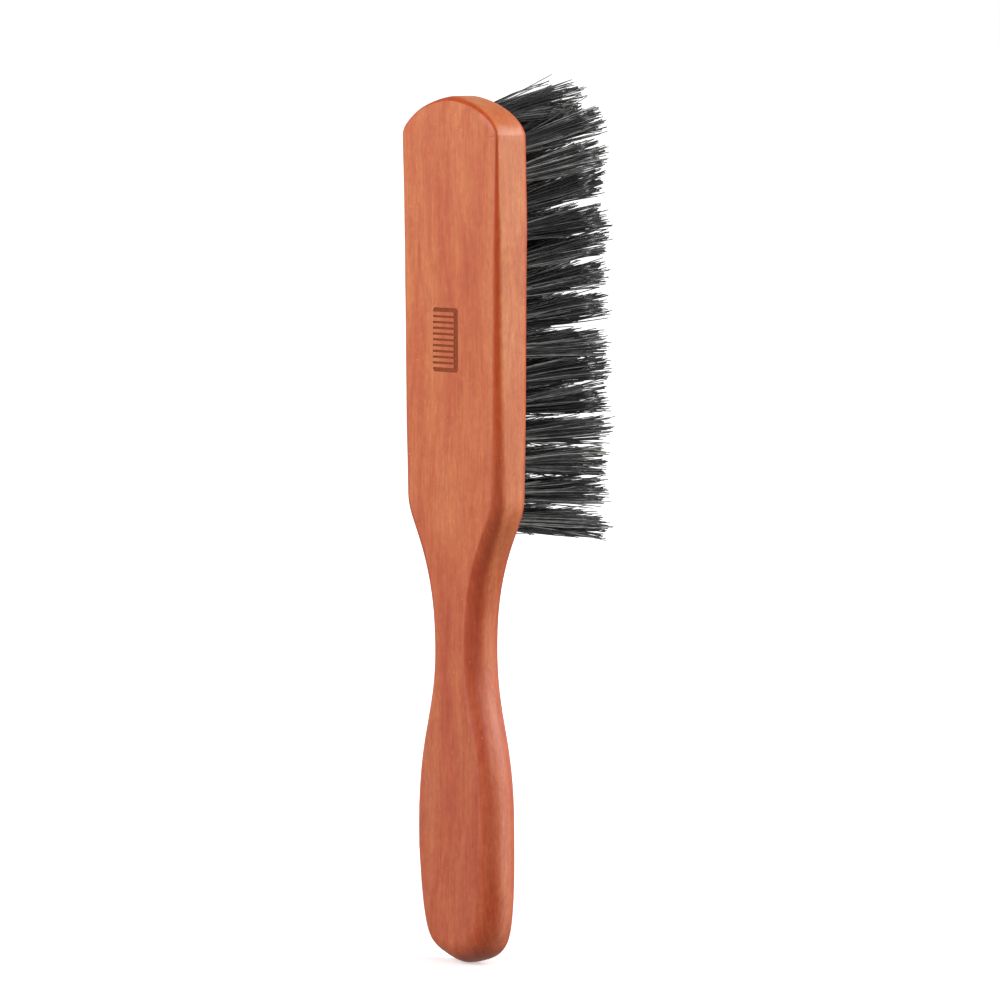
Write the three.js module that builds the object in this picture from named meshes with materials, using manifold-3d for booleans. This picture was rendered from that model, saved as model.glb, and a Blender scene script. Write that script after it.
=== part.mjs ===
// Beard brush: one board of pear wood, cut to a head, a neck and a grip, with stiff bristle tufts
// set in drilled blind holes. Millimetres. +Z runs from the grip's tip to the head, +Y is the way
// the bristles point, and X goes across the board. The origin is under the middle of the whole brush,
// at the height of the grip's tip.
import * as THREE from 'three';
import { mergeVertices } from 'three/addons/utils/BufferGeometryUtils.js';
import Module from 'manifold-3d';

// Board
const BOARD_LENGTH = 152.4;
const BOARD_THICKNESS = 7.6;
const HEAD_HALF_WIDTH = 12.7;
const NECK_HALF_WIDTH = 5.9;
const GRIP_HALF_WIDTH = 10.3;
const HEAD_END_START = 145.6;
const SHOULDER_HEIGHT = 82.5;
const NECK_HEIGHT = 55.6;
const GRIP_HEIGHT = 25;

// The head's end is a superellipse, a little more pointed than an ellipse
const HEAD_END_POWER = 1.66;

// How far the outline's curves run straight before they turn, and how much the tip's curve rises
const GRIP_TIP_REACH = 8;
const GRIP_TIP_RISE = 2.9;
const GRIP_LOWER_REACH = 24;
const GRIP_UPPER_REACH = 15.4;
const NECK_LOWER_REACH = 11.3;
const NECK_UPPER_REACH = 17.2;
const SHOULDER_REACH = 6;

// Rounded edges. Each has a radius at the back and at the front, turns through some degrees between the
// side and the flat face, which leaves a soft crease where it is under a quarter turn, and may be squashed
// across the board. The head's sides are crisp, and its end, the neck and the grip are rounded off.
const EDGES = [
  { height: 0, back: 4.8, front: 2.3, backTurn: 90, frontTurn: 90, squash: 0.8 },
  { height: 20, back: 3.5, front: 3.5, backTurn: 67, frontTurn: 67, squash: 1 },
  { height: NECK_HEIGHT, back: 3.6, front: 3.6, backTurn: 67, frontTurn: 67, squash: 1 },
  { height: 95, back: 1.9, front: 1.9, backTurn: 90, frontTurn: 90, squash: 1 },
  { height: 130, back: 1.2, front: 1.2, backTurn: 90, frontTurn: 90, squash: 1 },
  { height: 141, back: 0.7, front: 1.5, backTurn: 90, frontTurn: 90, squash: 1 },
  { height: 147, back: 0.5, front: 1.8, backTurn: 90, frontTurn: 90, squash: 1 },
  { height: 150.3, back: 1.2, front: 2.1, backTurn: 52, frontTurn: 90, squash: 1 },
  { height: BOARD_LENGTH, back: 2.2, front: 2.5, backTurn: 52, frontTurn: 90, squash: 1 },
];
// Below this height, the edge is drawn in towards the grip's middle
const TIP_CENTRE_HEIGHT = 11;
const EDGE_STEPS = 3;
const CURVE_STEPS = 9;
const HEAD_END_STEPS = 9;

// Bristle field: four columns of tufts in level rows; the outer columns leave out the top row
const TUFT_PITCH = 5;
const TOP_TUFT_HEIGHT = 148.3;
const COLUMNS = [
  { name: 'outer_left', across: -1.5, start: 1, count: 14 },
  { name: 'inner_left', across: -0.5, start: 0, count: 15 },
  { name: 'inner_right', across: 0.5, start: 0, count: 15 },
  { name: 'outer_right', across: 1.5, start: 1, count: 14 },
];
// Tufts stand square to the board at this height, and lean away from it above and below
const LEVEL_HEIGHT = 89.5;
const LEAN_PER_MILLIMETRE = THREE.MathUtils.degToRad(0.27);
const OUTER_COLUMN_LEAN = THREE.MathUtils.degToRad(7);

// Holes and tufts
const HOLE_RADIUS = 1.45;
const HOLE_DEPTH = 5.4;
const HOLE_OVERRUN = 1.5;
const HOLE_SIDES = 10;
const TUFT_ROOT_RADIUS = 1.05;
const TUFT_ROOT_DEPTH = 5.05;
const TUFT_COLLAR = 0.4;
const TUFT_TIP_RADIUS = 1.85;
const TUFT_CROWN_RADIUS = 1.2;
const TUFT_CROWN_HEIGHT = 0.9;
const TUFT_LENGTH = 19.5;
const TUFT_SIDES = 8;

const FRONT = BOARD_THICKNESS / 2;
const UP = new THREE.Vector3(0, 1, 0);

const wasm = await Module();
wasm.setup();

function pearWood() {
  return new THREE.MeshStandardMaterial({ color: 0xc8744f, roughness: 0.42, metalness: 0 });
}

function blackBristle() {
  return new THREE.MeshStandardMaterial({ color: 0x2a2c2c, roughness: 0.5, metalness: 0 });
}

// The right half of the board's outline, from the grip's tip to the head's end: x across, y up.
function halfOutline() {
  const grip = new THREE.CubicBezierCurve(
    new THREE.Vector2(0, 0),
    new THREE.Vector2(GRIP_TIP_REACH, GRIP_TIP_RISE),
    new THREE.Vector2(GRIP_HALF_WIDTH, GRIP_HEIGHT - GRIP_LOWER_REACH),
    new THREE.Vector2(GRIP_HALF_WIDTH, GRIP_HEIGHT),
  );
  const neck = new THREE.CubicBezierCurve(
    new THREE.Vector2(GRIP_HALF_WIDTH, GRIP_HEIGHT),
    new THREE.Vector2(GRIP_HALF_WIDTH, GRIP_HEIGHT + GRIP_UPPER_REACH),
    new THREE.Vector2(NECK_HALF_WIDTH, NECK_HEIGHT - NECK_LOWER_REACH),
    new THREE.Vector2(NECK_HALF_WIDTH, NECK_HEIGHT),
  );
  const shoulder = new THREE.CubicBezierCurve(
    new THREE.Vector2(NECK_HALF_WIDTH, NECK_HEIGHT),
    new THREE.Vector2(NECK_HALF_WIDTH, NECK_HEIGHT + NECK_UPPER_REACH),
    new THREE.Vector2(HEAD_HALF_WIDTH, SHOULDER_HEIGHT - SHOULDER_REACH),
    new THREE.Vector2(HEAD_HALF_WIDTH, SHOULDER_HEIGHT),
  );
  const side = EDGES.map((edge) => edge.height)
    .filter((height) => height > SHOULDER_HEIGHT && height < HEAD_END_START)
    .map((height) => new THREE.Vector2(HEAD_HALF_WIDTH, height));
  const lower = [grip, neck].flatMap((curve) => curve.getPoints(CURVE_STEPS).slice(0, -1));
  return [...lower, ...shoulder.getPoints(CURVE_STEPS), ...side, ...headEnd()];
}

function headEnd() {
  return Array.from({ length: HEAD_END_STEPS + 1 }, (_, i) => {
    const turn = (i / HEAD_END_STEPS) * (Math.PI / 2);
    const across = Math.cos(turn) ** (2 / HEAD_END_POWER);
    const up = Math.sin(turn) ** (2 / HEAD_END_POWER);
    const height = THREE.MathUtils.lerp(HEAD_END_START, BOARD_LENGTH, up);
    return new THREE.Vector2(HEAD_HALF_WIDTH * across, height);
  });
}

// The whole outline, anticlockwise seen with +X to the right and the head up.
function fullOutline() {
  const right = halfOutline();
  const left = right.slice(1, -1).reverse().map((point) => new THREE.Vector2(-point.x, point.y));
  return [...right, ...left];
}

function edgeAt(height) {
  const reached = Math.min(height, BOARD_LENGTH);
  const upper = Math.max(1, EDGES.findIndex((edge) => edge.height >= reached));
  const from = EDGES[upper - 1];
  const to = EDGES[upper];
  const share = (reached - from.height) / (to.height - from.height);
  const between = (name) => THREE.MathUtils.lerp(from[name], to[name], share);
  return {
    back: { radius: between('back'), turn: THREE.MathUtils.degToRad(between('backTurn')) },
    front: { radius: between('front'), turn: THREE.MathUtils.degToRad(between('frontTurn')) },
    squash: between('squash'),
  };
}

// Which way is out at each point: square to the outline, but away from the grip's middle round its tip
function outwardDirections(outline) {
  const centre = new THREE.Vector2(0, TIP_CENTRE_HEIGHT);
  return outline.map((point, i) => {
    const before = outline.at(i - 1);
    const after = outline[(i + 1) % outline.length];
    const along = after.clone().sub(before).normalize();
    const square = new THREE.Vector2(along.y, -along.x);
    const away = point.clone().sub(centre).normalize();
    const share = Math.min(1, point.y / TIP_CENTRE_HEIGHT) ** 2;
    return away.lerp(square, share).normalize();
  });
}

// The outline drawn in by a rounded edge: share is 0 at the side and 1 on the flat face.
function edgeRing(outline, outward, side, share) {
  return outline.map((point, i) => {
    const { back, front, squash } = edgeAt(point.y);
    const { radius, turn } = side < 0 ? back : front;
    const inset = squash * radius * (1 - Math.cos(turn * share));
    const depth = side * (FRONT - radius * (Math.sin(turn) - Math.sin(turn * share)));
    const flat = point.clone().addScaledVector(outward[i], -inset);
    return new THREE.Vector3(flat.x, depth, flat.y);
  });
}

function boardGeometry() {
  const outline = fullOutline();
  const outward = outwardDirections(outline);
  const shares = Array.from({ length: EDGE_STEPS + 1 }, (_, i) => i / EDGE_STEPS);
  const back = shares.toReversed().map((share) => edgeRing(outline, outward, -1, share));
  const front = shares.map((share) => edgeRing(outline, outward, 1, share));
  const rings = [...back, ...front];
  const count = outline.length;
  const positions = rings.flat().flatMap((point) => point.toArray());
  const indices = [];
  for (let ring = 0; ring < rings.length - 1; ring += 1) {
    for (let i = 0; i < count; i += 1) {
      const a = ring * count + i;
      const b = ring * count + ((i + 1) % count);
      indices.push(a, b + count, b);
      indices.push(a, a + count, b + count);
    }
  }
  const backFlat = rings[0].map((point) => new THREE.Vector2(point.x, point.z));
  const frontFlat = rings.at(-1).map((point) => new THREE.Vector2(point.x, point.z));
  const frontStart = (rings.length - 1) * count;
  for (const [a, b, c] of THREE.ShapeUtils.triangulateShape(backFlat, [])) {
    indices.push(a, b, c);
  }
  for (const [a, b, c] of THREE.ShapeUtils.triangulateShape(frontFlat, [])) {
    indices.push(frontStart + a, frontStart + c, frontStart + b);
  }
  const geometry = new THREE.BufferGeometry();
  geometry.setAttribute('position', new THREE.Float32BufferAttribute(positions, 3));
  geometry.setIndex(indices);
  return geometry;
}

// Every tuft's name, root on the front face and direction
function tuftPlaces() {
  return COLUMNS.flatMap(({ name, across, start, count }) => Array.from({ length: count }, (_, i) => {
    const height = TOP_TUFT_HEIGHT - (start + i) * TUFT_PITCH;
    const root = new THREE.Vector3(across * TUFT_PITCH, FRONT, height);
    const number = String(i + 1).padStart(2, '0');
    return { name: `tuft_${name}_${number}`, root, direction: tuftDirection(root) };
  }));
}

// The tufts fan out: up towards the head's end, down towards the neck, and a little sideways.
function tuftDirection(root) {
  const outermost = COLUMNS.at(-1).across * TUFT_PITCH;
  const lean = LEAN_PER_MILLIMETRE * (root.z - LEVEL_HEIGHT);
  const sideways = OUTER_COLUMN_LEAN * (root.x / outermost);
  return new THREE.Vector3(Math.tan(sideways), 1, Math.tan(lean)).normalize();
}

function along(direction) {
  return new THREE.Quaternion().setFromUnitVectors(UP, direction);
}

function holeGeometry({ root, direction }) {
  const length = HOLE_DEPTH + HOLE_OVERRUN;
  const geometry = new THREE.CylinderGeometry(HOLE_RADIUS, HOLE_RADIUS, length, HOLE_SIDES);
  geometry.translate(0, length / 2 - HOLE_DEPTH, 0);
  geometry.applyQuaternion(along(direction));
  geometry.translate(root.x, root.y, root.z);
  return geometry;
}

function solidFrom(geometry) {
  const bare = geometry.clone();
  bare.deleteAttribute('normal');
  bare.deleteAttribute('uv');
  const merged = mergeVertices(bare, 1e-4);
  return new wasm.Manifold(new wasm.Mesh({
    numProp: 3,
    vertProperties: new Float32Array(merged.attributes.position.array),
    triVerts: new Uint32Array(merged.index.array),
  }));
}

function geometryFrom(solid) {
  const mesh = solid.getMesh();
  const geometry = new THREE.BufferGeometry();
  geometry.setAttribute('position', new THREE.Float32BufferAttribute(mesh.vertProperties, 3));
  geometry.setIndex([...mesh.triVerts]);
  return geometry;
}

function woodBody(places) {
  let board = solidFrom(boardGeometry());
  for (const place of places) {
    board = board.subtract(solidFrom(holeGeometry(place)));
  }
  const mesh = new THREE.Mesh(geometryFrom(board), pearWood());
  mesh.name = 'wood_body';
  return mesh;
}

function tuftGeometry() {
  const profile = [
    new THREE.Vector2(0, -TUFT_ROOT_DEPTH),
    new THREE.Vector2(TUFT_ROOT_RADIUS, -TUFT_ROOT_DEPTH),
    new THREE.Vector2(TUFT_ROOT_RADIUS, TUFT_COLLAR),
    new THREE.Vector2(TUFT_TIP_RADIUS, TUFT_LENGTH - TUFT_CROWN_HEIGHT),
    new THREE.Vector2(TUFT_CROWN_RADIUS, TUFT_LENGTH),
    new THREE.Vector2(0, TUFT_LENGTH),
  ];
  return new THREE.LatheGeometry(profile, TUFT_SIDES);
}

function tuft({ name, root, direction }, geometry, material) {
  const mesh = new THREE.Mesh(geometry, material);
  mesh.name = name;
  mesh.position.copy(root);
  mesh.quaternion.copy(along(direction));
  return mesh;
}

function beardBrush() {
  const brush = new THREE.Group();
  const places = tuftPlaces();
  const geometry = tuftGeometry();
  const material = blackBristle();
  brush.add(woodBody(places));
  for (const place of places) {
    brush.add(tuft(place, geometry, material));
  }
  const middle = new THREE.Box3().setFromObject(brush, true).getCenter(new THREE.Vector3());
  brush.position.y = -middle.y;
  return brush;
}

export default beardBrush();
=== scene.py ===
"""The looks of a beard brush: a pear-wood board, its drilled holes, folded bristle tufts and their staples.
Everything is in metres in the frame's own axes: Z runs from the grip's tip to the head, Y is the way the
bristles point, and X goes across the board."""
import math

import bpy
import numpy as np
from mathutils import Matrix, Vector, noise


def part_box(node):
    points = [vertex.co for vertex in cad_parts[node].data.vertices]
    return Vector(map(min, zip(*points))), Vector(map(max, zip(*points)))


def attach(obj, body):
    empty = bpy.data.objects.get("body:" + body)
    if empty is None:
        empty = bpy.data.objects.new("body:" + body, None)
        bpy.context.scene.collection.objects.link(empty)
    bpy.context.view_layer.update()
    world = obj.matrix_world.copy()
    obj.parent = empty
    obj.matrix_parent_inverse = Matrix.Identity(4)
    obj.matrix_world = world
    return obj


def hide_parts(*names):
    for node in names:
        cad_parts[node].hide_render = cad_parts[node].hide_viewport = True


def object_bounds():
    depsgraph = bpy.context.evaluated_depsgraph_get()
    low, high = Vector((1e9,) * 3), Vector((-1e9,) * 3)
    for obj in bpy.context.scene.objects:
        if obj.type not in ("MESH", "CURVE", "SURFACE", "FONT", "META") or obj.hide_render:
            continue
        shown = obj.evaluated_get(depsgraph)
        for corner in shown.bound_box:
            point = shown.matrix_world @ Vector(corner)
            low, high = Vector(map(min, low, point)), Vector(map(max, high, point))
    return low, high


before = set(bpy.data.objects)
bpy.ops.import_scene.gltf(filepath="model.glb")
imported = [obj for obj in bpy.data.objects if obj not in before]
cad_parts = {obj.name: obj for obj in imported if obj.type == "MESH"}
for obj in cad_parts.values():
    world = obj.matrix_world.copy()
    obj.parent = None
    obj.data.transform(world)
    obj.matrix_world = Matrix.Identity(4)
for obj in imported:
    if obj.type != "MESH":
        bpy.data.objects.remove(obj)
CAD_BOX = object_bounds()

MM = 0.001
RNG = np.random.default_rng(20)

# The board, whose length, width and thickness come from the frame
BOARD_LOW, BOARD_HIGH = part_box("wood_body")
BOARD_LENGTH = BOARD_HIGH.z - BOARD_LOW.z
BOARD_MIDDLE_Y = (BOARD_LOW.y + BOARD_HIGH.y) / 2
HALF_THICKNESS = (BOARD_HIGH.y - BOARD_LOW.y) / 2
FRONT_Y = BOARD_HIGH.y
BACK_Y = BOARD_LOW.y
HEAD_HALF_WIDTH = BOARD_HIGH.x
NECK_HALF_WIDTH = 5.9 * MM
GRIP_HALF_WIDTH = 10.3 * MM
HEAD_END_START = 145.6 * MM
HEAD_END_POWER = 1.66
SHOULDER_HEIGHT = 82.5 * MM
NECK_HEIGHT = 55.6 * MM
GRIP_HEIGHT = 25 * MM

# The lengths of the outline's curve handles, and how its tip is blunted and rounded
GRIP_TIP_REACH = 8 * MM
GRIP_TIP_RISE = 2.9 * MM
GRIP_LOWER_REACH = 24 * MM
GRIP_UPPER_REACH = 15.4 * MM
NECK_LOWER_REACH = 11.3 * MM
NECK_UPPER_REACH = 17.2 * MM
SHOULDER_REACH = 6 * MM
TIP_CENTRE_HEIGHT = 11 * MM
TIP_BLUNTNESS = 0.5 * MM

# How many steps the outline's stretches and the flat faces have
GRIP_STEPS = 60
NECK_STEPS = 36
SHOULDER_STEPS = 48
SIDE_STEPS = 60
HEAD_END_STEPS = 48
FLAT_COLUMNS = 24
SIDE_SHARES = (0.25, 0.5, 0.75)

# The rounded edge at heights up the board: its radius at the back and at the front in millimetres, the
# degrees it turns through between the side and each flat face, and how much it is squashed across the board
EDGES = {
    0: (4.8, 2.3, 90, 90, 0.8),
    20 * MM: (3.5, 3.5, 67, 67, 1),
    NECK_HEIGHT: (3.6, 3.6, 67, 67, 1),
    95 * MM: (1.9, 1.9, 90, 90, 1),
    130 * MM: (1.2, 1.2, 90, 90, 1),
    141 * MM: (0.7, 1.5, 90, 90, 1),
    147 * MM: (0.5, 1.8, 90, 90, 1),
    150.3 * MM: (1.2, 2.1, 52, 90, 1),
    BOARD_LENGTH: (2.2, 2.5, 52, 90, 1),
}
EDGE_SHARES = [0, 0.12, 0.24, 0.36, 0.48, 0.6, 0.72, 0.84, 0.94, 1]

# The width over which the crease between edge and flat face fades, at heights up the board
CREASE_SOFTNESS = {
    0: 1.6 * MM,
    12 * MM: 1.2 * MM,
    22 * MM: 0.35 * MM,
    80 * MM: 0.4 * MM,
    110 * MM: 1.2 * MM,
}

# Hand sanding: how much the edge's radius wanders, over what length and from what place in the noise, and the
# slight waves and ripples in the faces. Shading is smooth up to the last angle.
SANDING = 0.05
SANDING_LENGTH = 14 * MM
SANDING_PLACE = 7.3
WAVE_LENGTH = 11 * MM
WAVE_HEIGHT = 0.045 * MM
RIPPLES_PER_WAVE = 3.1
RIPPLE_HEIGHT = 0.012 * MM
SHARPEST_SMOOTH_ANGLE = math.radians(35)

# The drilled holes: a bore with an eased mouth and a drill-point bottom, whose cone reaches as far above the
# hole's depth as below it
HOLE_RADIUS = 1.45 * MM
HOLE_DEPTH = 5.4 * MM
HOLE_SIDES = 28
DRILL_POINT_REACH = 0.3 * MM
MOUTH_DEPTH = 0.12 * MM
MOUTH_EASE = 0.35 * MM
HOLE_OVERRUN = 1 * MM

# The burnt mark: a plain comb on the back of the head
MARK_HEIGHT = 110 * MM
MARK_ACROSS = -0.6 * MM
MARK_DEPTH = 0.1 * MM
MARK_OVERRUN = 1 * MM
COMB_HALF_LENGTH = 5.6 * MM
COMB_SPINE = 3 * MM
COMB_TOOTH_TIPS = -3.6 * MM
COMB_TOOTH_ROOTS = 1.9 * MM
COMB_END_TOOTH = 0.75 * MM
COMB_CHAMFER = 0.4 * MM
COMB_FINE_TEETH = 9
COMB_TOOTH_SHARE = 0.4

# The tufts' rows and columns, and which way they lean. At the level height they lean neither up nor down.
COLUMNS = {"outer_left": -1.5, "inner_left": -0.5, "inner_right": 0.5, "outer_right": 1.5}
TUFT_PITCH = 5 * MM
TOP_TUFT_HEIGHT = 148.3 * MM
LEVEL_HEIGHT = 89.5 * MM
LEAN_PER_MILLIMETRE = math.radians(0.27)
OUTER_COLUMN_LEAN = math.radians(7)

# The bristles: each fibre is folded in its hole and makes two of them
FIBRES = 42
FIBRE_PLACE_SPREAD = 0.05
BRISTLE_SIDES = 4
BRISTLE_LENGTH = 19.7 * MM
BRISTLE_RADIUS = 0.13 * MM
HOLE_WALL_GAP = 1.25 * BRISTLE_RADIUS
BRISTLE_STATIONS = [0.1, 0.3, 0.52, 0.76, 1]
BRISTLE_TAPER = [1, 1, 1, 1, 0.98, 0.92, 0.8, 0.6]
BRISTLE_BEND = 0.28 * MM
FLARE_POWER = 1.05
LOCK_POWER = 1.3
WILD_POWER = 1.4
FLARE = 0.82 * MM
FLARE_SPREAD = 0.3 * MM
LONGER_SPREAD = 0.25 * MM
SHORTER_SPREAD = 0.5 * MM
WILD_SHARE = 0.1
WILD_STRAY = 1.2 * MM
TAME_STRAY = 0.28 * MM
LOCK_TONE_SHARE = 0.4

# The locks that a tuft's bristles gather in, and how use has swept the tufts along the board: by noise that
# runs up the rows, and further in the rows that ROW_SWEEP numbers from the top
LOCKS = 9
LOCK_PULL = 0.3
TUFT_STRAY = 0.25 * MM
LOCK_STRAY = 0.32 * MM
LOCK_SPREAD = 0.25 * MM
LOCK_LENGTH_SPREAD = 0.3 * MM
ROW_SWAY = 1.5 * MM
ROW_SWAY_LENGTH = 7 * MM
ROW_SWAY_PLACE = 3.1
ROW_SWEEP = {0: -2 * MM, 14: -0.7 * MM}
SWEEP_SHARES = (0.4, 1.6)

# A direction that no bristle runs along, which turns the tubes' sides
CROSSWISE = (1, 0.02, 0.01)

# Inside the hole: where the fibres narrow, turn and fold, layer by layer, under the staple
LAYERS = 5
THROAT_DEPTH = 2.2 * MM
THROAT_SHARE = 0.9
TURN_DEPTH = 4.2 * MM
TURN_HALF_WIDTH = 0.8 * MM
TURN_OFFSET = 0.32 * MM
TURN_LAYER = 0.1 * MM
FOLD_DEPTH = 4.62 * MM
FOLD_LAYER = 0.13 * MM
FOLD_HALF_WIDTH = 0.85 * MM
STAPLE_DEPTH = 4.15 * MM
STAPLE_HALF_WIDTH = 1.12 * MM
STAPLE_LEG = 1 * MM
STAPLE_BEND = 0.3 * MM
STAPLE_BEND_STEPS = 4
STAPLE_BRIDGE_END = STAPLE_HALF_WIDTH - 3 * STAPLE_BEND
STAPLE_RADIUS = 0.2 * MM
STAPLE_SIDES = 8

# Wood colours: the bands from dark to pale, the tints over them, and the heights over which the head's
# painted arris shade comes in and the grip's redness fades. The side tints are painted light and the arris
# colours are painted shade.
DARK_BAND = (0.54, 0.088, 0.024)
MIDDLE_BAND = (0.61, 0.125, 0.034)
PALE_BAND = (0.68, 0.18, 0.052)
GOLDEN_BLOTCH = (0.68, 0.185, 0.058, 1)
# Painted light: the side faces are painted paler and golder where they catch more light, and the golden
# blotches on them carry a painted sheen.
SIDE_PAINTED_LIGHT = (0.65, 0.18, 0.055, 1)
SIDE_PAINTED_SHEEN = (0.76, 0.27, 0.1, 1)
# Painted shade: the rounded edges of head and neck are painted a darker, richer orange, standing in for the
# sheen they miss and the shade under the shoulders.
HEAD_ARRIS_PAINTED_SHADE = (0.56, 0.07, 0.008, 1)
NECK_ARRIS_PAINTED_SHADE = (0.42, 0.055, 0.026, 1)
PALE_FLECK = (0.8, 0.5, 0.35, 1)
HEAD_ARRIS_SHADE_RISE = (80 * MM, 105 * MM)
GRIP_REDNESS_FADE = (30 * MM, 95 * MM)

# Bristle colours, from the blackest shaft to the greyest, and the dry tip of those above a tone. The grey
# shafts are partly the bristles' own varied tone and partly painted glints, standing in for light caught
# along the strands.
SHAFT_TONES_AND_PAINTED_GLINTS = (
    (0.2, (0.002, 0.002, 0.0022)),
    (0.45, (0.012, 0.013, 0.013)),
    (0.65, (0.07, 0.071, 0.07)),
    (0.85, (0.27, 0.27, 0.26)),
)
DRY_TIP = (0.3, 0.2, 0.09, 1)
DRY_TIP_TONE = 0.9
DRY_TIP_POWER = 5
DRY_TIP_STRENGTH = 0.6

# The studio: how bright the surroundings are below the brush, on the camera's side and overhead, where 1 is
# white, and the parts of a unit direction over which each of them comes in
BELOW_BRIGHTNESS = 0.3
BELOW_FADE = (-0.14, -0.03)
FRONT_BRIGHTNESS = 0.35
FRONT_FADE = (0.1, 0.75)
OVERHEAD_BRIGHTNESS = 0.3
OVERHEAD_FADE = (0.1, 0.3)

# The floor's half size in metres, its glow near the brush as a share of the backdrop's, and how far from the
# brush the glow starts to rise and reaches the backdrop's
FLOOR_HALF_SIZE = 60
FLOOR_GLOW = 0.42
FLOOR_FADE = (0.03, 0.4)

# The softboxes: their turn round the brush from the camera and their elevation in degrees, the width and
# height in metres, the power in watts, and how many degrees they're spun. A positive turn goes to the
# camera's right.
SOFTBOXES = {
    "softbox_left": (-68, 25, 0.7, 0.7, 7.1, 0),
    "softbox_side": (84, 5, 0.4, 0.9, 1.5, 0),
    "strip_right": (93, 29, 0.12, 0.7, 4.6, -37),
    "softbox_front": (38, 22, 0.6, 0.5, 3, 0),
}
SOFTBOX_DISTANCE = 0.9

# The camera's place round the brush, its distance, the height of what it sees, how far from the middle it
# aims, and the nearest and furthest that it sees, in metres
CAMERA_AZIMUTH = math.radians(49)
CAMERA_ELEVATION = math.radians(5)
CAMERA_ROLL = math.radians(-0.09)
CAMERA_DISTANCE = 0.95
VIEW_HEIGHT = 176.2 * MM
AIM_RIGHT = -1.4 * MM
AIM_UP = 3.69 * MM
NEAREST_SEEN = 0.01
FURTHEST_SEEN = 50


def smooth_mesh(name, vertices, faces):
    mesh = bpy.data.meshes.new(name)
    mesh.from_pydata(vertices, [], faces)
    mesh.update()
    mesh.shade_smooth()
    piece = bpy.data.objects.new(name, mesh)
    bpy.context.scene.collection.objects.link(piece)
    return piece


# ---------------------------------------------------------------- the board

def bezier(points, count):
    a, b, c, d = (np.array(point) for point in points)
    t = np.linspace(0, 1, count + 1)[:, None]
    return (1 - t) ** 3 * a + 3 * (1 - t) ** 2 * t * b + 3 * (1 - t) * t ** 2 * c + t ** 3 * d


def grip_outline():
    """The grip from its tip to its widest place, with the tip itself a little blunt."""
    grip = bezier([(0, 0), (GRIP_TIP_REACH, GRIP_TIP_RISE),
                   (GRIP_HALF_WIDTH, GRIP_HEIGHT - GRIP_LOWER_REACH),
                   (GRIP_HALF_WIDTH, GRIP_HEIGHT)], GRIP_STEPS)
    grip[:, 1] = np.hypot(grip[:, 1], TIP_BLUNTNESS) - TIP_BLUNTNESS
    return grip


def head_end_outline():
    """A superellipse, a little more pointed than an ellipse."""
    turn = np.linspace(0, math.pi / 2, HEAD_END_STEPS + 1)
    across = HEAD_HALF_WIDTH * np.abs(np.cos(turn)) ** (2 / HEAD_END_POWER)
    up = HEAD_END_START + (BOARD_LENGTH - HEAD_END_START) * np.sin(turn) ** (2 / HEAD_END_POWER)
    return np.stack([across, up], axis=1)


def half_outline():
    """The right half of the board's outline, from the grip's tip to the head's end: across, up."""
    neck = bezier([(GRIP_HALF_WIDTH, GRIP_HEIGHT), (GRIP_HALF_WIDTH, GRIP_HEIGHT + GRIP_UPPER_REACH),
                   (NECK_HALF_WIDTH, NECK_HEIGHT - NECK_LOWER_REACH),
                   (NECK_HALF_WIDTH, NECK_HEIGHT)], NECK_STEPS)
    shoulder = bezier([(NECK_HALF_WIDTH, NECK_HEIGHT), (NECK_HALF_WIDTH, NECK_HEIGHT + NECK_UPPER_REACH),
                       (HEAD_HALF_WIDTH, SHOULDER_HEIGHT - SHOULDER_REACH),
                       (HEAD_HALF_WIDTH, SHOULDER_HEIGHT)], SHOULDER_STEPS)
    t = np.linspace(0, 1, SIDE_STEPS + 1)[:, None]
    side = (1 - t) * [HEAD_HALF_WIDTH, SHOULDER_HEIGHT] + t * [HEAD_HALF_WIDTH, HEAD_END_START]
    outline = np.concatenate([grip_outline()[:-1], neck[:-1], shoulder[:-1], side[:-1], head_end_outline()])
    outline[-1, 0] = 0
    return outline


def outward_directions(outline):
    """Which way is out: square to the outline, but away from the grip's middle round its tip."""
    along = np.roll(outline, -1, axis=0) - np.roll(outline, 1, axis=0)
    along /= np.linalg.norm(along, axis=1)[:, None]
    square = np.stack([along[:, 1], -along[:, 0]], axis=1)
    away = outline - [0, TIP_CENTRE_HEIGHT]
    away /= np.linalg.norm(away, axis=1)[:, None]
    share = np.clip(outline[:, 1] / TIP_CENTRE_HEIGHT, 0, 1)[:, None] ** 2
    outward = away + (square - away) * share
    return outward / np.linalg.norm(outward, axis=1)[:, None]


def edges_along(heights):
    """The edge's radii, turn and squash at each height, a little uneven, as hand sanding leaves them."""
    values = np.array(list(EDGES.values()))
    columns = [np.interp(heights, list(EDGES), column) for column in values.T]
    back, front, back_turn, front_turn, squash = columns
    places = [Vector((0, SANDING_PLACE, height / SANDING_LENGTH)) for height in heights]
    wander = np.array([noise.noise(place) for place in places])
    uneven = MM * (1 + SANDING * wander)
    return {-1: (back * uneven, np.radians(back_turn), squash),
            1: (front * uneven, np.radians(front_turn), squash)}


def edge_ring(outline, outward, edges, side, share, further=0):
    """The outline drawn in by the rounded edge: share is 0 at the side and 1 on the flat face."""
    radius, turn, squash = edges[side]
    inset = squash * radius * (1 - np.cos(turn * share)) + further
    y = BOARD_MIDDLE_Y + side * (HALF_THICKNESS - radius * (np.sin(turn) - np.sin(turn * share)))
    flat = outline - outward * inset[:, None]
    return np.stack([flat[:, 0], y, flat[:, 1]], axis=1)


def edge_rings(outline, outward, edges, side):
    rings = [edge_ring(outline, outward, edges, side, share) for share in EDGE_SHARES]
    softness = np.interp(outline[:, 1], list(CREASE_SOFTNESS), list(CREASE_SOFTNESS.values()))
    return [*rings, edge_ring(outline, outward, edges, side, 1, softness)]


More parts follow.
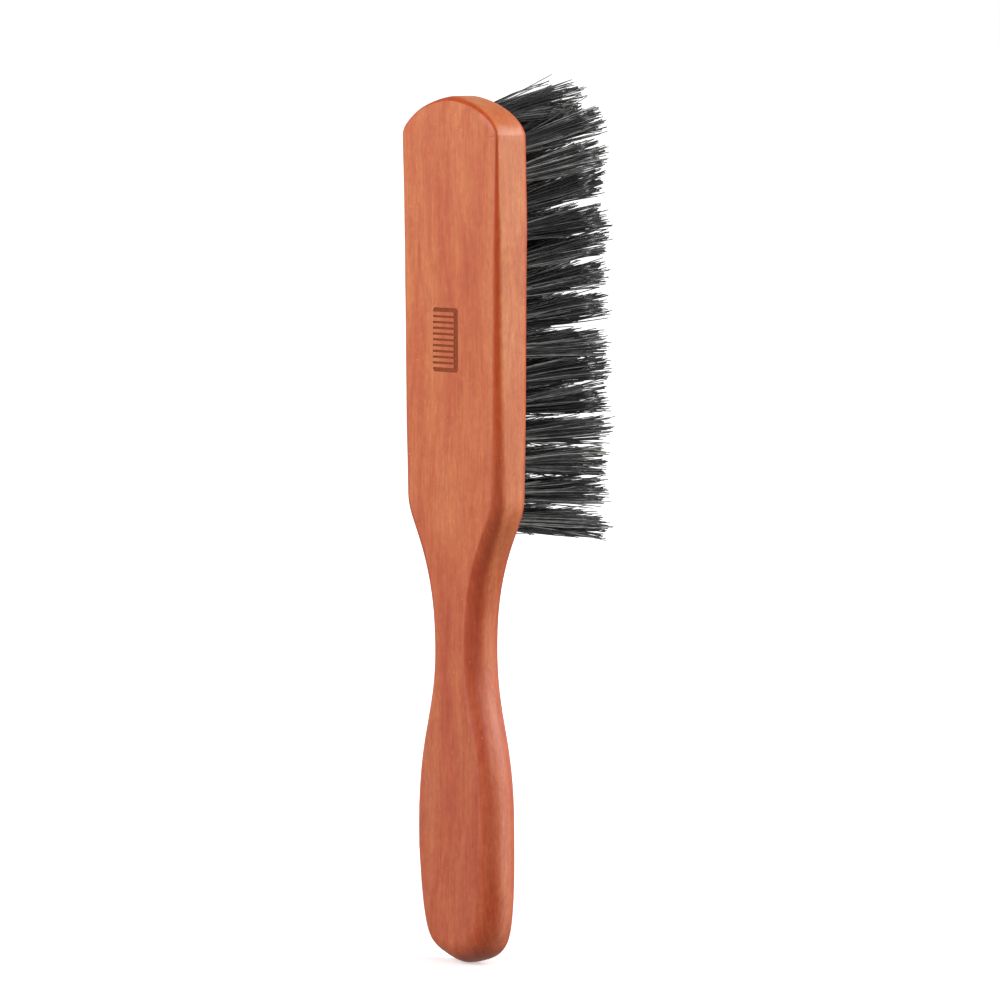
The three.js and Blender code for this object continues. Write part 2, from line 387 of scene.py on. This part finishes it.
def board_mesh():
    """Rings round the edge from the back's flat to the front's, and rows of quads across both flats."""
    right = half_outline()
    steps = len(right)
    left = right[1:-1][::-1] * [-1, 1]
    outline = np.concatenate([right, left])
    outward = outward_directions(outline)
    edges = edges_along(outline[:, 1])
    back = edge_rings(outline, outward, edges, -1)[::-1]
    front = edge_rings(outline, outward, edges, 1)
    sides = [back[-1] + (front[0] - back[-1]) * share for share in SIDE_SHARES]
    rings = back + sides + front
    count = len(outline)
    vertices = [tuple(point) for ring in rings for point in ring]
    faces = []
    for ring in range(len(rings) - 1):
        for i in range(count):
            a = ring * count + i
            b = ring * count + (i + 1) % count
            faces.append((a, a + count, b + count, b))
    for ring, winding in ((0, 1), (len(rings) - 1, -1)):
        faces += flat_rows(vertices, ring * count, count, steps, winding)
    return vertices, faces


def flat_rows(vertices, start, count, steps, winding):
    """Fills a flat face between its two sides with one row of quads for each step of the outline."""
    rows = []
    for i in range(1, steps - 1):
        a = Vector(vertices[start + i])
        b = Vector(vertices[start + count - i])
        row = [start + i]
        for c in range(1, FLAT_COLUMNS):
            vertices.append(tuple(a.lerp(b, c / FLAT_COLUMNS)))
            row.append(len(vertices) - 1)
        row.append(start + count - i)
        rows.append(row)
    faces = []
    for lower, upper in zip(rows, rows[1:]):
        faces += [(lower[c], upper[c], upper[c + 1], lower[c + 1]) for c in range(FLAT_COLUMNS)]
    faces += [(start, rows[0][c], rows[0][c + 1]) for c in range(FLAT_COLUMNS)]
    faces += [(start + steps - 1, rows[-1][c + 1], rows[-1][c]) for c in range(FLAT_COLUMNS)]
    return [face[::winding] for face in faces]


def tuft_places():
    """Each tuft's name, root on the front face, drilled direction, and how far use has swept its tip."""
    outermost = max(COLUMNS.values()) * TUFT_PITCH
    places = []
    for column, across in COLUMNS.items():
        names = sorted(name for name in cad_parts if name.startswith(f"tuft_{column}_"))
        first_row = 0 if column.startswith("inner") else 1
        for row, name in enumerate(names, first_row):
            root = Vector((across * TUFT_PITCH, FRONT_Y, TOP_TUFT_HEIGHT - row * TUFT_PITCH))
            lean = LEAN_PER_MILLIMETRE * (root.z - LEVEL_HEIGHT) / MM
            sideways = OUTER_COLUMN_LEAN * root.x / outermost
            direction = Vector((math.tan(sideways), 1, math.tan(lean))).normalized()
            places.append((name, root, direction, ROW_SWEEP.get(row, 0)))
    return places


def hole_cutter(places):
    """One mesh of all the drills."""
    mouth_radius = HOLE_RADIUS + MOUTH_EASE
    mouth_rise = MOUTH_EASE - MOUTH_DEPTH
    profile = [(HOLE_RADIUS, -HOLE_DEPTH + DRILL_POINT_REACH), (HOLE_RADIUS, -MOUTH_DEPTH),
               (mouth_radius, mouth_rise), (mouth_radius, HOLE_OVERRUN)]
    vertices, faces = [], []
    for _, root, direction, _ in places:
        turn = direction.to_track_quat("Z", "X").to_matrix()
        start = len(vertices)
        vertices.append(root - direction * (HOLE_DEPTH + DRILL_POINT_REACH))
        for radius, height in profile:
            for i in range(HOLE_SIDES):
                angle = 2 * math.pi * i / HOLE_SIDES
                place = Vector((radius * math.cos(angle), radius * math.sin(angle), height))
                vertices.append(root + turn @ place)
        for i in range(HOLE_SIDES):
            n = (i + 1) % HOLE_SIDES
            faces.append((start, start + 1 + n, start + 1 + i))
            for ring in range(len(profile) - 1):
                a = start + 1 + ring * HOLE_SIDES
                faces.append((a + i, a + n, a + HOLE_SIDES + n, a + HOLE_SIDES + i))
        faces.append(tuple(start + 1 + (len(profile) - 1) * HOLE_SIDES + i for i in range(HOLE_SIDES)))
    return smooth_mesh("drills", vertices, faces)


def comb_outline():
    """A plain comb seen from the back, as across and up: a spine, two stout end teeth, and fine ones
    between."""
    half = COMB_HALF_LENGTH
    inner = half - COMB_END_TOOTH
    pitch = 2 * inner / (COMB_FINE_TEETH + 1 - COMB_TOOTH_SHARE)
    upper = [(COMB_SPINE, half - COMB_CHAMFER), (COMB_SPINE - COMB_CHAMFER, half),
             (COMB_TOOTH_TIPS + COMB_CHAMFER, half), (COMB_TOOTH_TIPS, half - COMB_CHAMFER),
             (COMB_TOOTH_TIPS, inner), (COMB_TOOTH_ROOTS, inner)]
    points = list(upper)
    for i in range(COMB_FINE_TEETH):
        top = inner - (i + 1 - COMB_TOOTH_SHARE) * pitch
        bottom = top - COMB_TOOTH_SHARE * pitch
        points += [(COMB_TOOTH_ROOTS, top), (COMB_TOOTH_TIPS, top),
                   (COMB_TOOTH_TIPS, bottom), (COMB_TOOTH_ROOTS, bottom)]
    points += [(x, -z) for x, z in upper[::-1]]
    return points


def mark_cutter():
    """The comb's prism, which is burnt a little way into the back of the head."""
    outline = [(x + MARK_ACROSS, z + MARK_HEIGHT) for x, z in comb_outline()]
    count = len(outline)
    vertices = [(x, y, z) for y in (BACK_Y - MARK_OVERRUN, BACK_Y + MARK_DEPTH) for x, z in outline]
    faces = [tuple(range(count)), tuple(range(count, 2 * count))[::-1]]
    faces += [(i, count + i, count + (i + 1) % count, (i + 1) % count) for i in range(count)]
    return smooth_mesh("mark", vertices, faces)


def cut(piece, cutter):
    modifier = piece.modifiers.new("cut", "BOOLEAN")
    modifier.operation = "DIFFERENCE"
    modifier.solver = "MANIFOLD"
    modifier.material_mode = "TRANSFER"
    modifier.object = cutter
    graph = bpy.context.evaluated_depsgraph_get()
    result = bpy.data.meshes.new_from_object(piece.evaluated_get(graph))
    piece.modifiers.clear()
    piece.data = result
    bpy.data.objects.remove(cutter)


def roughen(mesh):
    """The slight waves that sanding leaves in the faces."""
    points = np.empty(len(mesh.vertices) * 3, dtype=np.float32)
    normals = np.empty_like(points)
    mesh.vertices.foreach_get("co", points)
    mesh.vertices.foreach_get("normal", normals)
    points = points.reshape(-1, 3)
    rise = []
    for place in points / WAVE_LENGTH:
        wave = WAVE_HEIGHT * noise.noise(Vector(place))
        ripple = RIPPLE_HEIGHT * noise.noise(Vector(place * RIPPLES_PER_WAVE))
        rise.append(wave + ripple)
    points += normals.reshape(-1, 3) * np.array(rise, dtype=np.float32)[:, None]
    mesh.vertices.foreach_set("co", points.ravel())
    mesh.update()


def make_board(places):
    vertices, faces = board_mesh()
    board = smooth_mesh("pear_wood_board", vertices, faces)
    roughen(board.data)
    board.data.materials.append(pear_wood())
    drills = hole_cutter(places)
    drills.data.materials.append(raw_wood())
    cut(board, drills)
    mark = mark_cutter()
    mark.data.materials.append(burnt_wood())
    cut(board, mark)
    board.data.shade_smooth()
    board.data.set_sharp_from_angle(angle=SHARPEST_SMOOTH_ANGLE)
    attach(board, "root")
    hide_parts("wood_body")


# ---------------------------------------------------------------- the tufts

def frame_of(direction):
    """Two directions across a tuft: one along the board's width, one up its length."""
    across = Vector((1, 0, 0))
    across = (across - direction * across.dot(direction)).normalized()
    return np.array(across), np.array(across.cross(direction))


def make_locks(height, sweep):
    """A tuft's locks: where each one sits, how its tip strays, its tone and its extra length."""
    places = RNG.uniform(-1, 1, (LOCKS, 2))
    places /= np.maximum(1, np.linalg.norm(places, axis=1))[:, None]
    strays = RNG.normal(0, TUFT_STRAY, 2) + RNG.normal(0, LOCK_STRAY, (LOCKS, 2))
    strays += places * LOCK_SPREAD
    strays[:, 1] += ROW_SWAY * noise.noise(Vector((0, ROW_SWAY_PLACE, height / ROW_SWAY_LENGTH)))
    strays[:, 1] += sweep * RNG.uniform(*SWEEP_SHARES, LOCKS)
    return places, strays, RNG.random(LOCKS), RNG.normal(0, LOCK_LENGTH_SPREAD, LOCKS)


def bristle_side(root, frame_axes, disc, locks):
    """One bristle from its place in the hole to its tip, and its tone."""
    u, v, d = frame_axes
    places, strays, tones, lengths = locks
    lock = np.argmin(np.linalg.norm(places - disc, axis=1))
    mouth = disc * (HOLE_RADIUS - HOLE_WALL_GAP)
    pull = LOCK_PULL * RNG.random()
    flare = (disc * (1 - pull) + places[lock] * pull) * (FLARE + FLARE_SPREAD * RNG.random())
    wild = RNG.normal(0, WILD_STRAY if RNG.random() < WILD_SHARE else TAME_STRAY, 2)
    bend = RNG.normal(0, BRISTLE_BEND, 2)
    extra = RNG.normal(0, LONGER_SPREAD) - abs(RNG.normal(0, SHORTER_SPREAD))
    length = BRISTLE_LENGTH + lengths[lock] + extra
    throat = mouth * THROAT_SHARE
    points = [root - d * THROAT_DEPTH + u * throat[0] + v * throat[1],
              root + u * mouth[0] + v * mouth[1]]
    for h in BRISTLE_STATIONS:
        spread = flare * h ** FLARE_POWER + strays[lock] * h ** LOCK_POWER
        swing = spread + wild * h ** WILD_POWER + bend * math.sin(math.pi * h)
        place = mouth + swing
        points.append(root + d * length * h + u * place[0] + v * place[1])
    return points, LOCK_TONE_SHARE * tones[lock] + (1 - LOCK_TONE_SHARE) * RNG.random()


def fibre_paths(root, direction, sweep):
    """Each fibre goes from one tip down its hole, under the staple and up to the other tip."""
    u, v = frame_of(direction)
    d = np.array(direction)
    root = np.array(root)
    locks = make_locks(root[2], sweep)
    golden_turn = math.pi * (3 - math.sqrt(5))
    paths, tones = [], []
    for i in range(FIBRES):
        layer = i % LAYERS
        share = math.sqrt((i + 0.5) / FIBRES)
        angle = abs((i * golden_turn) % (2 * math.pi) - math.pi)
        halves = []
        for side in (1, -1):
            disc = share * np.array([math.cos(angle), side * math.sin(angle)])
            disc += RNG.normal(0, FIBRE_PLACE_SPREAD, 2)
            disc /= max(1, np.linalg.norm(disc))
            points, tone = bristle_side(root, (u, v, d), disc, locks)
            offset = side * (TURN_OFFSET + TURN_LAYER * layer)
            turn = root - d * TURN_DEPTH + u * disc[0] * TURN_HALF_WIDTH + v * offset
            halves.append([turn, *points])
            tones.append(tone)
        fold_across = share * math.cos(angle) * FOLD_HALF_WIDTH
        fold = root - d * (FOLD_DEPTH + FOLD_LAYER * layer) + u * fold_across
        paths.append(np.array([*halves[0][::-1], fold, *halves[1]]))
    return np.array(paths), np.array(tones)


def tube_mesh(name, paths, radii):
    """Closed tubes along many paths at once."""
    tubes, points, _ = paths.shape
    tangents = np.gradient(paths, axis=1)
    tangents /= np.linalg.norm(tangents, axis=2)[..., None]
    side = np.cross(tangents, CROSSWISE)
    side /= np.linalg.norm(side, axis=2)[..., None]
    other = np.cross(tangents, side)
    angles = 2 * math.pi * np.arange(BRISTLE_SIDES) / BRISTLE_SIDES
    ring = (side[:, :, None] * np.cos(angles)[None, None, :, None]
            + other[:, :, None] * np.sin(angles)[None, None, :, None])
    vertices = paths[:, :, None] + ring * radii[None, :, None, None]
    index = np.arange(tubes * points * BRISTLE_SIDES).reshape(tubes, points, BRISTLE_SIDES)
    near = index[:, :-1]
    far = index[:, 1:]
    corners = [near, np.roll(near, -1, axis=2), np.roll(far, -1, axis=2), far]
    quads = np.stack(corners, axis=-1).reshape(-1, 4)
    caps = np.concatenate([index[:, 0, ::-1], index[:, -1]])
    return smooth_mesh(name, vertices.reshape(-1, 3).tolist(), quads.tolist() + caps.tolist())


def add_attribute(piece, name, values):
    """Gives a bundle's points a value each, from one value for each ring of its tubes."""
    attribute = piece.data.attributes.new(name, "FLOAT", "POINT")
    attribute.data.foreach_set("value", np.repeat(values, BRISTLE_SIDES).astype(np.float32))


def make_tuft(place, material):
    name, root, direction, sweep = place
    paths, tones = fibre_paths(root, direction, sweep)
    points = paths.shape[1]
    radii = BRISTLE_RADIUS * np.concatenate([BRISTLE_TAPER[::-1], [1], BRISTLE_TAPER])
    piece = tube_mesh(f"bristles_{name.removeprefix('tuft_')}", paths, radii)
    up = [0, 0, 0, *BRISTLE_STATIONS]
    height = np.tile([*up[::-1], 0, *up], len(paths))
    halves = np.repeat(tones, points // 2).reshape(len(paths), -1)
    tone = np.insert(halves, points // 2, tones[::2], axis=1).ravel()
    add_attribute(piece, "height", height)
    add_attribute(piece, "tone", tone)
    piece.data.materials.append(material)
    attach(piece, "root")
    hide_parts(name)


def staple_path(root, direction):
    """The wire's middle line: a bridge across the hole, two bends and two legs."""
    across, _ = frame_of(direction)
    d = np.array(direction)
    middle = np.array(root) - d * STAPLE_DEPTH
    right = [(STAPLE_BRIDGE_END, 0)]
    for turn in np.linspace(0, math.pi / 2, STAPLE_BEND_STEPS + 1):
        right.append((STAPLE_HALF_WIDTH - STAPLE_BEND + STAPLE_BEND * math.sin(turn),
                      -STAPLE_BEND * (1 - math.cos(turn))))
    right.append((STAPLE_HALF_WIDTH, -STAPLE_LEG))
    left = [(-x, y) for x, y in right[::-1]]
    return np.array([middle + across * x + d * y for x, y in left + right])


def wire_mesh(name, path, flat):
    """A round wire bent in one plane, whose ends are cut square."""
    tangents = np.gradient(path, axis=0)
    tangents /= np.linalg.norm(tangents, axis=1)[:, None]
    vertices, faces = [], []
    for point, tangent in zip(path, tangents):
        inward = np.cross(tangent, flat)
        for i in range(STAPLE_SIDES):
            angle = 2 * math.pi * i / STAPLE_SIDES
            out = flat * math.cos(angle) + inward * math.sin(angle)
            vertices.append(tuple(point + out * STAPLE_RADIUS))
    for ring in range(len(path) - 1):
        for i in range(STAPLE_SIDES):
            a = ring * STAPLE_SIDES + i
            b = ring * STAPLE_SIDES + (i + 1) % STAPLE_SIDES
            faces.append((a, a + STAPLE_SIDES, b + STAPLE_SIDES, b))
    faces.append(tuple(range(STAPLE_SIDES)))
    faces.append(tuple(range(len(vertices) - 1, len(vertices) - STAPLE_SIDES - 1, -1)))
    return smooth_mesh(name, vertices, faces)


def make_staple(place, material):
    """A short wire bent to a U: its bridge holds the fibres' fold down at the bottom of the hole."""
    name, root, direction, _ = place
    _, flat = frame_of(direction)
    piece = wire_mesh(f"staple_{name.removeprefix('tuft_')}", staple_path(root, direction), flat)
    piece.data.materials.append(material)
    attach(piece, "root")


# ---------------------------------------------------------------- materials

class Nodes:
    """A node tree, with a short way to add and link nodes."""

    def __init__(self, tree):
        self.tree = tree

    def add(self, kind, inputs=None, **settings):
        node = self.tree.nodes.new(kind)
        for key, value in settings.items():
            setattr(node, key, value)
        for key, value in (inputs or {}).items():
            self.feed(node.inputs[key], value)
        return node

    def feed(self, socket, value):
        if isinstance(value, bpy.types.NodeSocket):
            self.tree.links.new(value, socket)
        else:
            socket.default_value = value

    def math(self, operation, *values):
        node = self.add("ShaderNodeMath", operation=operation)
        for socket, value in zip(node.inputs, values):
            self.feed(socket, value)
        return node.outputs[0]

    def noise(self, vector, detail, roughness=0.5, distortion=0):
        node = self.add("ShaderNodeTexNoise", {"Vector": vector, "Scale": 1, "Detail": detail,
                                               "Roughness": roughness, "Distortion": distortion})
        return node.outputs["Fac"]

    def stretched(self, scale, offset=(0, 0, 0)):
        """Object coordinates in millimetres, times a scale along each axis."""
        place = self.add("ShaderNodeTexCoord").outputs["Object"]
        mapping = self.add("ShaderNodeMapping", {"Vector": place, "Location": offset,
                                                 "Scale": tuple(s / MM for s in scale)})
        return mapping.outputs["Vector"]

    def between(self, value, start, end, low, high, kind="LINEAR"):
        """The value's way from start to end, turned into a number from low to high."""
        node = self.add("ShaderNodeMapRange", {"Value": value, "From Min": start, "From Max": end,
                                               "To Min": low, "To Max": high}, interpolation_type=kind)
        return node.outputs[0]

    def ramp(self, value, *stops):
        node = self.add("ShaderNodeValToRGB", {"Fac": value})
        elements = node.color_ramp.elements
        while len(elements) < len(stops):
            elements.new(0.5)
        for element, (position, color) in zip(elements, stops):
            element.position = position
            element.color = (*color, 1)
        return node.outputs["Color"]

    def mix(self, factor, a, b, blend="MIX"):
        node = self.add("ShaderNodeMix", data_type="RGBA", blend_type=blend)
        self.feed(node.inputs["Factor"], factor)
        self.feed(node.inputs["A"], a)
        self.feed(node.inputs["B"], b)
        return node.outputs["Result"]

    def shade(self, color, value, *stops):
        """The colour, times a ramp of the value."""
        return self.mix(1, color, self.ramp(value, *stops), "MULTIPLY")


class Material(Nodes):
    """A material's node tree and its shader."""

    def __init__(self, name):
        self.material = bpy.data.materials.new(name)
        self.material.use_nodes = True
        super().__init__(self.material.node_tree)
        self.shader = self.tree.nodes["Principled BSDF"]

    def set(self, name, value):
        self.feed(self.shader.inputs[name], value)

    def bump(self, height, strength, distance):
        node = self.add("ShaderNodeBump", {"Height": height, "Strength": strength, "Distance": distance})
        self.set("Normal", node.outputs["Normal"])


def grey(value):
    return (value, value, value)


def wood_bands(n):
    """Soft broad bands along the length, which wander a little."""
    wander = n.noise(n.stretched((0.05, 0.05, 0.028), (2, 8, 4)), 2)
    drift = n.add("ShaderNodeCombineXYZ", {"X": n.math("MULTIPLY", wander, 3.4),
                                           "Y": n.math("MULTIPLY", wander, 2.1)})
    along = n.stretched((0.3, 0.3, 0.016))
    grain = n.add("ShaderNodeVectorMath", {0: along, 1: drift.outputs[0]}, operation="ADD")
    bands = n.noise(grain.outputs[0], 3, 0.55, 0.3)
    return n.ramp(bands, (0.3, DARK_BAND), (0.5, MIDDLE_BAND), (0.68, PALE_BAND))


def tinted_by_place(n, color):
    """The golden blotches, the sides painted paler and golder as painted light, the arrises of head and neck
    painted darker and richer as painted shade, and the redder grip.
    """
    blotches = n.noise(n.stretched((0.18, 0.18, 0.035), (3, 1, 5)), 3, 0.5, 0.3)
    color = n.mix(n.ramp(blotches, (0.48, grey(0)), (0.68, grey(0.8))), color, GOLDEN_BLOTCH)
    facing = n.add("ShaderNodeSeparateXYZ", {0: n.add("ShaderNodeTexCoord").outputs["Normal"]})
    flatness = n.math("ABSOLUTE", facing.outputs["Y"])
    # Painted light: the side faces, picked out by their normal, are painted paler, and a painted golden sheen
    # goes where the blotches reach them.
    sideways = n.ramp(flatness, (0.05, grey(0.6)), (0.3, grey(0)))
    color = n.mix(sideways, color, SIDE_PAINTED_LIGHT)
    side_sheen_share = n.math("MULTIPLY", sideways, n.ramp(blotches, (0.5, grey(0)), (0.68, grey(0.75))))
    color = n.mix(side_sheen_share, color, SIDE_PAINTED_SHEEN)
    up = n.add("ShaderNodeSeparateXYZ", {0: n.add("ShaderNodeTexCoord").outputs["Object"]}).outputs["Z"]
    # Painted shade: the rounded edges are painted darker and richer, from the head's end down through the
    # neck.
    rounded = n.ramp(flatness, (0.25, grey(0)), (0.5, grey(1)), (0.93, grey(1)), (0.996, grey(0)))
    head_arris_shade = n.between(up, *HEAD_ARRIS_SHADE_RISE, 0.35, 1)
    color = n.mix(n.math("MULTIPLY", rounded, head_arris_shade), color, HEAD_ARRIS_PAINTED_SHADE)
    neck_arris_shade = n.ramp(n.math("DIVIDE", up, BOARD_LENGTH),
                     (0.2, grey(0)), (0.42, grey(0.45)), (0.52, grey(0.5)), (0.64, grey(0)))
    color = n.mix(n.math("MULTIPLY", rounded, neck_arris_shade), color, NECK_ARRIS_PAINTED_SHADE)
    on_grip = n.between(up, *GRIP_REDNESS_FADE, 1, 0)
    redder = n.ramp(flatness, (0.9, (0.98, 0.91, 1.3)), (0.99, (0.87, 0.79, 1.05)))
    return n.mix(on_grip, color, redder, "MULTIPLY")


def pear_wood():
    """Satin pear wood: soft broad bands and faint fibres along the length, a little curl, and tiny flecks."""
    n = Material("pear_wood")
    fibres = n.noise(n.stretched((2.2, 2.2, 0.16), (1, 4, 2)), 4, 0.6, 0.5)
    fine = n.noise(n.stretched((5, 5, 1.1), (8, 2, 1)), 3, 0.6)
    mottle = n.noise(n.stretched((1.5, 1.5, 0.8), (2, 9, 6)), 3, 0.6)
    curl = n.noise(n.stretched((0.4, 0.4, 0.3), (5, 6, 2)), 4, 0.6, 1.2)
    flecks = n.noise(n.stretched((1.8, 1.8, 1.3), (9, 3, 7)), 2, 0.4)
    color = tinted_by_place(n, wood_bands(n))
    color = n.shade(color, mottle, (0.3, (0.97, 0.91, 0.9)), (0.7, (1.03, 1.09, 1.1)))
    color = n.shade(color, fibres, (0.3, (0.89, 0.84, 0.84)), (0.7, (1.08, 1.15, 1.15)))
    color = n.shade(color, fine, (0.25, (0.93, 0.88, 0.84)), (0.75, (1.06, 1.12, 1.16)))
    color = n.shade(color, curl, (0.35, (0.95, 0.89, 0.89)), (0.65, (1.03, 1.1, 1.09)))
    color = n.mix(n.ramp(flecks, (0.76, grey(0)), (0.8, grey(0.5))), color, PALE_FLECK)
    n.set("Base Color", color)
    n.set("Roughness", n.math("MULTIPLY_ADD", fibres, 0.14, 0.33))
    n.bump(n.math("MULTIPLY_ADD", fine, 0.5, fibres), 0.1, 0.04 * MM)
    return n.material


def raw_wood():
    """The drilled holes' bare wood, darker and rougher than the finished face."""
    n = Material("drilled_wood")
    fibres = n.noise(n.stretched((2.6, 2.6, 0.3)), 5, 0.6)
    n.set("Base Color", n.ramp(fibres, (0.3, (0.22, 0.07, 0.03)), (0.7, (0.34, 0.12, 0.055))))
    n.set("Roughness", 0.75)
    n.bump(fibres, 0.4, 0.1 * MM)
    return n.material


def burnt_wood():
    """The mark's floor: scorched brown with uneven grain."""
    n = Material("burnt_wood")
    fibres = n.noise(n.stretched((3, 3, 0.5)), 5, 0.6)
    n.set("Base Color", n.ramp(fibres, (0.3, (0.23, 0.042, 0.012)), (0.7, (0.34, 0.072, 0.02))))
    n.set("Roughness", 0.62)
    n.set("Specular IOR Level", 0.2)
    n.bump(fibres, 0.5, 0.05 * MM)
    return n.material


def black_bristle():
    """Stiff charcoal bristle: a glossy shaft, varied from one to the next, with the greyest shafts and the
    bright streaks along them partly painted glints, and a few browner, drier tips.
    """
    n = Material("black_bristle")
    tone = n.add("ShaderNodeAttribute", attribute_name="tone").outputs["Fac"]
    height = n.add("ShaderNodeAttribute", attribute_name="height").outputs["Fac"]
    streaks = n.noise(n.stretched((1.5, 0.4, 1.5)), 4, 0.6)
    # Painted glints: the grey tones and bright streaks along the shafts stand in for light caught on the
    # strands, over the bristles' own varied tone.
    shaft = n.shade(n.ramp(tone, *SHAFT_TONES_AND_PAINTED_GLINTS), streaks, (0.3, grey(0.5)), (0.7, grey(1.6)))
    is_dry = n.math("GREATER_THAN", tone, DRY_TIP_TONE)
    dry = n.math("MULTIPLY", n.math("POWER", height, DRY_TIP_POWER), is_dry)
    n.set("Base Color", n.mix(n.math("MULTIPLY", dry, DRY_TIP_STRENGTH), shaft, DRY_TIP))
    n.set("Roughness", n.math("MULTIPLY_ADD", streaks, 0.16, 0.14))
    n.set("IOR", 1.6)
    n.set("Specular IOR Level", 0.45)
    return n.material


def staple_wire():
    """Drawn steel wire with slight tarnish."""
    n = Material("staple_wire")
    tarnish = n.noise(n.stretched((1.2, 1.2, 1.2)), 4, 0.6)
    n.set("Base Color", n.ramp(tarnish, (0.3, (0.36, 0.34, 0.31)), (0.7, (0.6, 0.59, 0.57))))
    n.set("Roughness", n.math("MULTIPLY_ADD", tarnish, 0.25, 0.25))
    n.set("Metallic", 1)
    return n.material


def pale_floor():
    """A white sweep, which glows more the further it is from the brush, so that it fades into the
    backdrop."""
    n = Material("pale_floor")
    n.set("Base Color", (0.9, 0.9, 0.9, 1))
    n.set("Roughness", 0.9)
    n.set("Specular IOR Level", 0.1)
    n.set("Emission Color", (1, 1, 1, 1))
    place = n.add("ShaderNodeTexCoord").outputs["Object"]
    from_brush = n.add("ShaderNodeVectorMath", {0: place}, operation="LENGTH").outputs["Value"]
    n.set("Emission Strength", n.between(from_brush, *FLOOR_FADE, FLOOR_GLOW, 1))
    return n.material


# ---------------------------------------------------------------- the studio

def make_floor():
    half = FLOOR_HALF_SIZE
    corners = [(-half, -half, 0), (half, -half, 0), (half, half, 0), (-half, half, 0)]
    floor = smooth_mesh("floor", corners, [(0, 1, 2, 3)])
    floor.data.materials.append(pale_floor())
    floor.visible_diffuse = False
    floor.visible_glossy = False


def make_world():
    """A white cove all round, darker overhead, below the table's edge and where the photographer stands."""
    world = bpy.data.worlds.new("studio")
    bpy.context.scene.world = world
    world.use_nodes = True
    n = Nodes(world.node_tree)
    place = n.add("ShaderNodeTexCoord").outputs["Generated"]
    height = n.add("ShaderNodeSeparateXYZ", {0: place}).outputs["Z"]
    viewer = direction_at(CAMERA_AZIMUTH, 0)
    towards = n.add("ShaderNodeVectorMath", {0: place, 1: viewer}, operation="DOT_PRODUCT").outputs["Value"]
    above = n.between(height, *BELOW_FADE, BELOW_BRIGHTNESS, 1, "SMOOTHSTEP")
    front = n.between(towards, *FRONT_FADE, 1, FRONT_BRIGHTNESS, "SMOOTHSTEP")
    overhead = n.between(height, *OVERHEAD_FADE, 1, OVERHEAD_BRIGHTNESS)
    brightness = n.math("MULTIPLY", n.math("MULTIPLY", above, front), overhead)
    color = n.add("ShaderNodeCombineColor", {0: brightness, 1: brightness, 2: brightness})
    n.feed(n.tree.nodes["Background"].inputs["Color"], color.outputs[0])


def direction_at(azimuth, elevation):
    """The direction from the brush towards a viewer at that azimuth and elevation."""
    return Vector((math.sin(azimuth) * math.cos(elevation), -math.cos(azimuth) * math.cos(elevation),
                   math.sin(elevation)))


def make_softbox(name, turn, elevation, width, height, power, spin, centre):
    light = bpy.data.lights.new(name, "AREA")
    light.shape = "RECTANGLE"
    light.size = width
    light.size_y = height
    light.energy = power
    piece = bpy.data.objects.new(name, light)
    bpy.context.scene.collection.objects.link(piece)
    out = direction_at(CAMERA_AZIMUTH + math.radians(turn), math.radians(elevation))
    piece.location = centre + out * SOFTBOX_DISTANCE
    facing = out.to_track_quat("Z", "Y").to_matrix() @ Matrix.Rotation(math.radians(spin), 3, "Z")
    piece.rotation_euler = facing.to_euler()
    piece.visible_camera = False


def make_camera(centre):
    data = bpy.data.cameras.new("camera")
    camera = bpy.data.objects.new("camera", data)
    bpy.context.scene.collection.objects.link(camera)
    out = direction_at(CAMERA_AZIMUTH, CAMERA_ELEVATION)
    turn = out.to_track_quat("Z", "Y").to_matrix()
    aim = centre + turn @ Vector((AIM_RIGHT, AIM_UP, 0))
    rolled = turn @ Matrix.Rotation(CAMERA_ROLL, 3, "Z")
    camera.matrix_world = Matrix.Translation(aim + out * CAMERA_DISTANCE) @ rolled.to_4x4()
    data.lens = data.sensor_width * CAMERA_DISTANCE / VIEW_HEIGHT
    data.clip_start = NEAREST_SEEN
    data.clip_end = FURTHEST_SEEN
    bpy.context.scene.camera = camera


def main():
    centre = (CAD_BOX[0] + CAD_BOX[1]) / 2
    make_camera(centre)
    make_world()
    make_floor()
    for name, settings in SOFTBOXES.items():
        make_softbox(name, *settings, centre)
    places = tuft_places()
    make_board(places)
    bristle = black_bristle()
    wire = staple_wire()
    for place in places:
        make_tuft(place, bristle)
        make_staple(place, wire)
    bpy.context.scene.view_settings.view_transform = "Standard"


main()
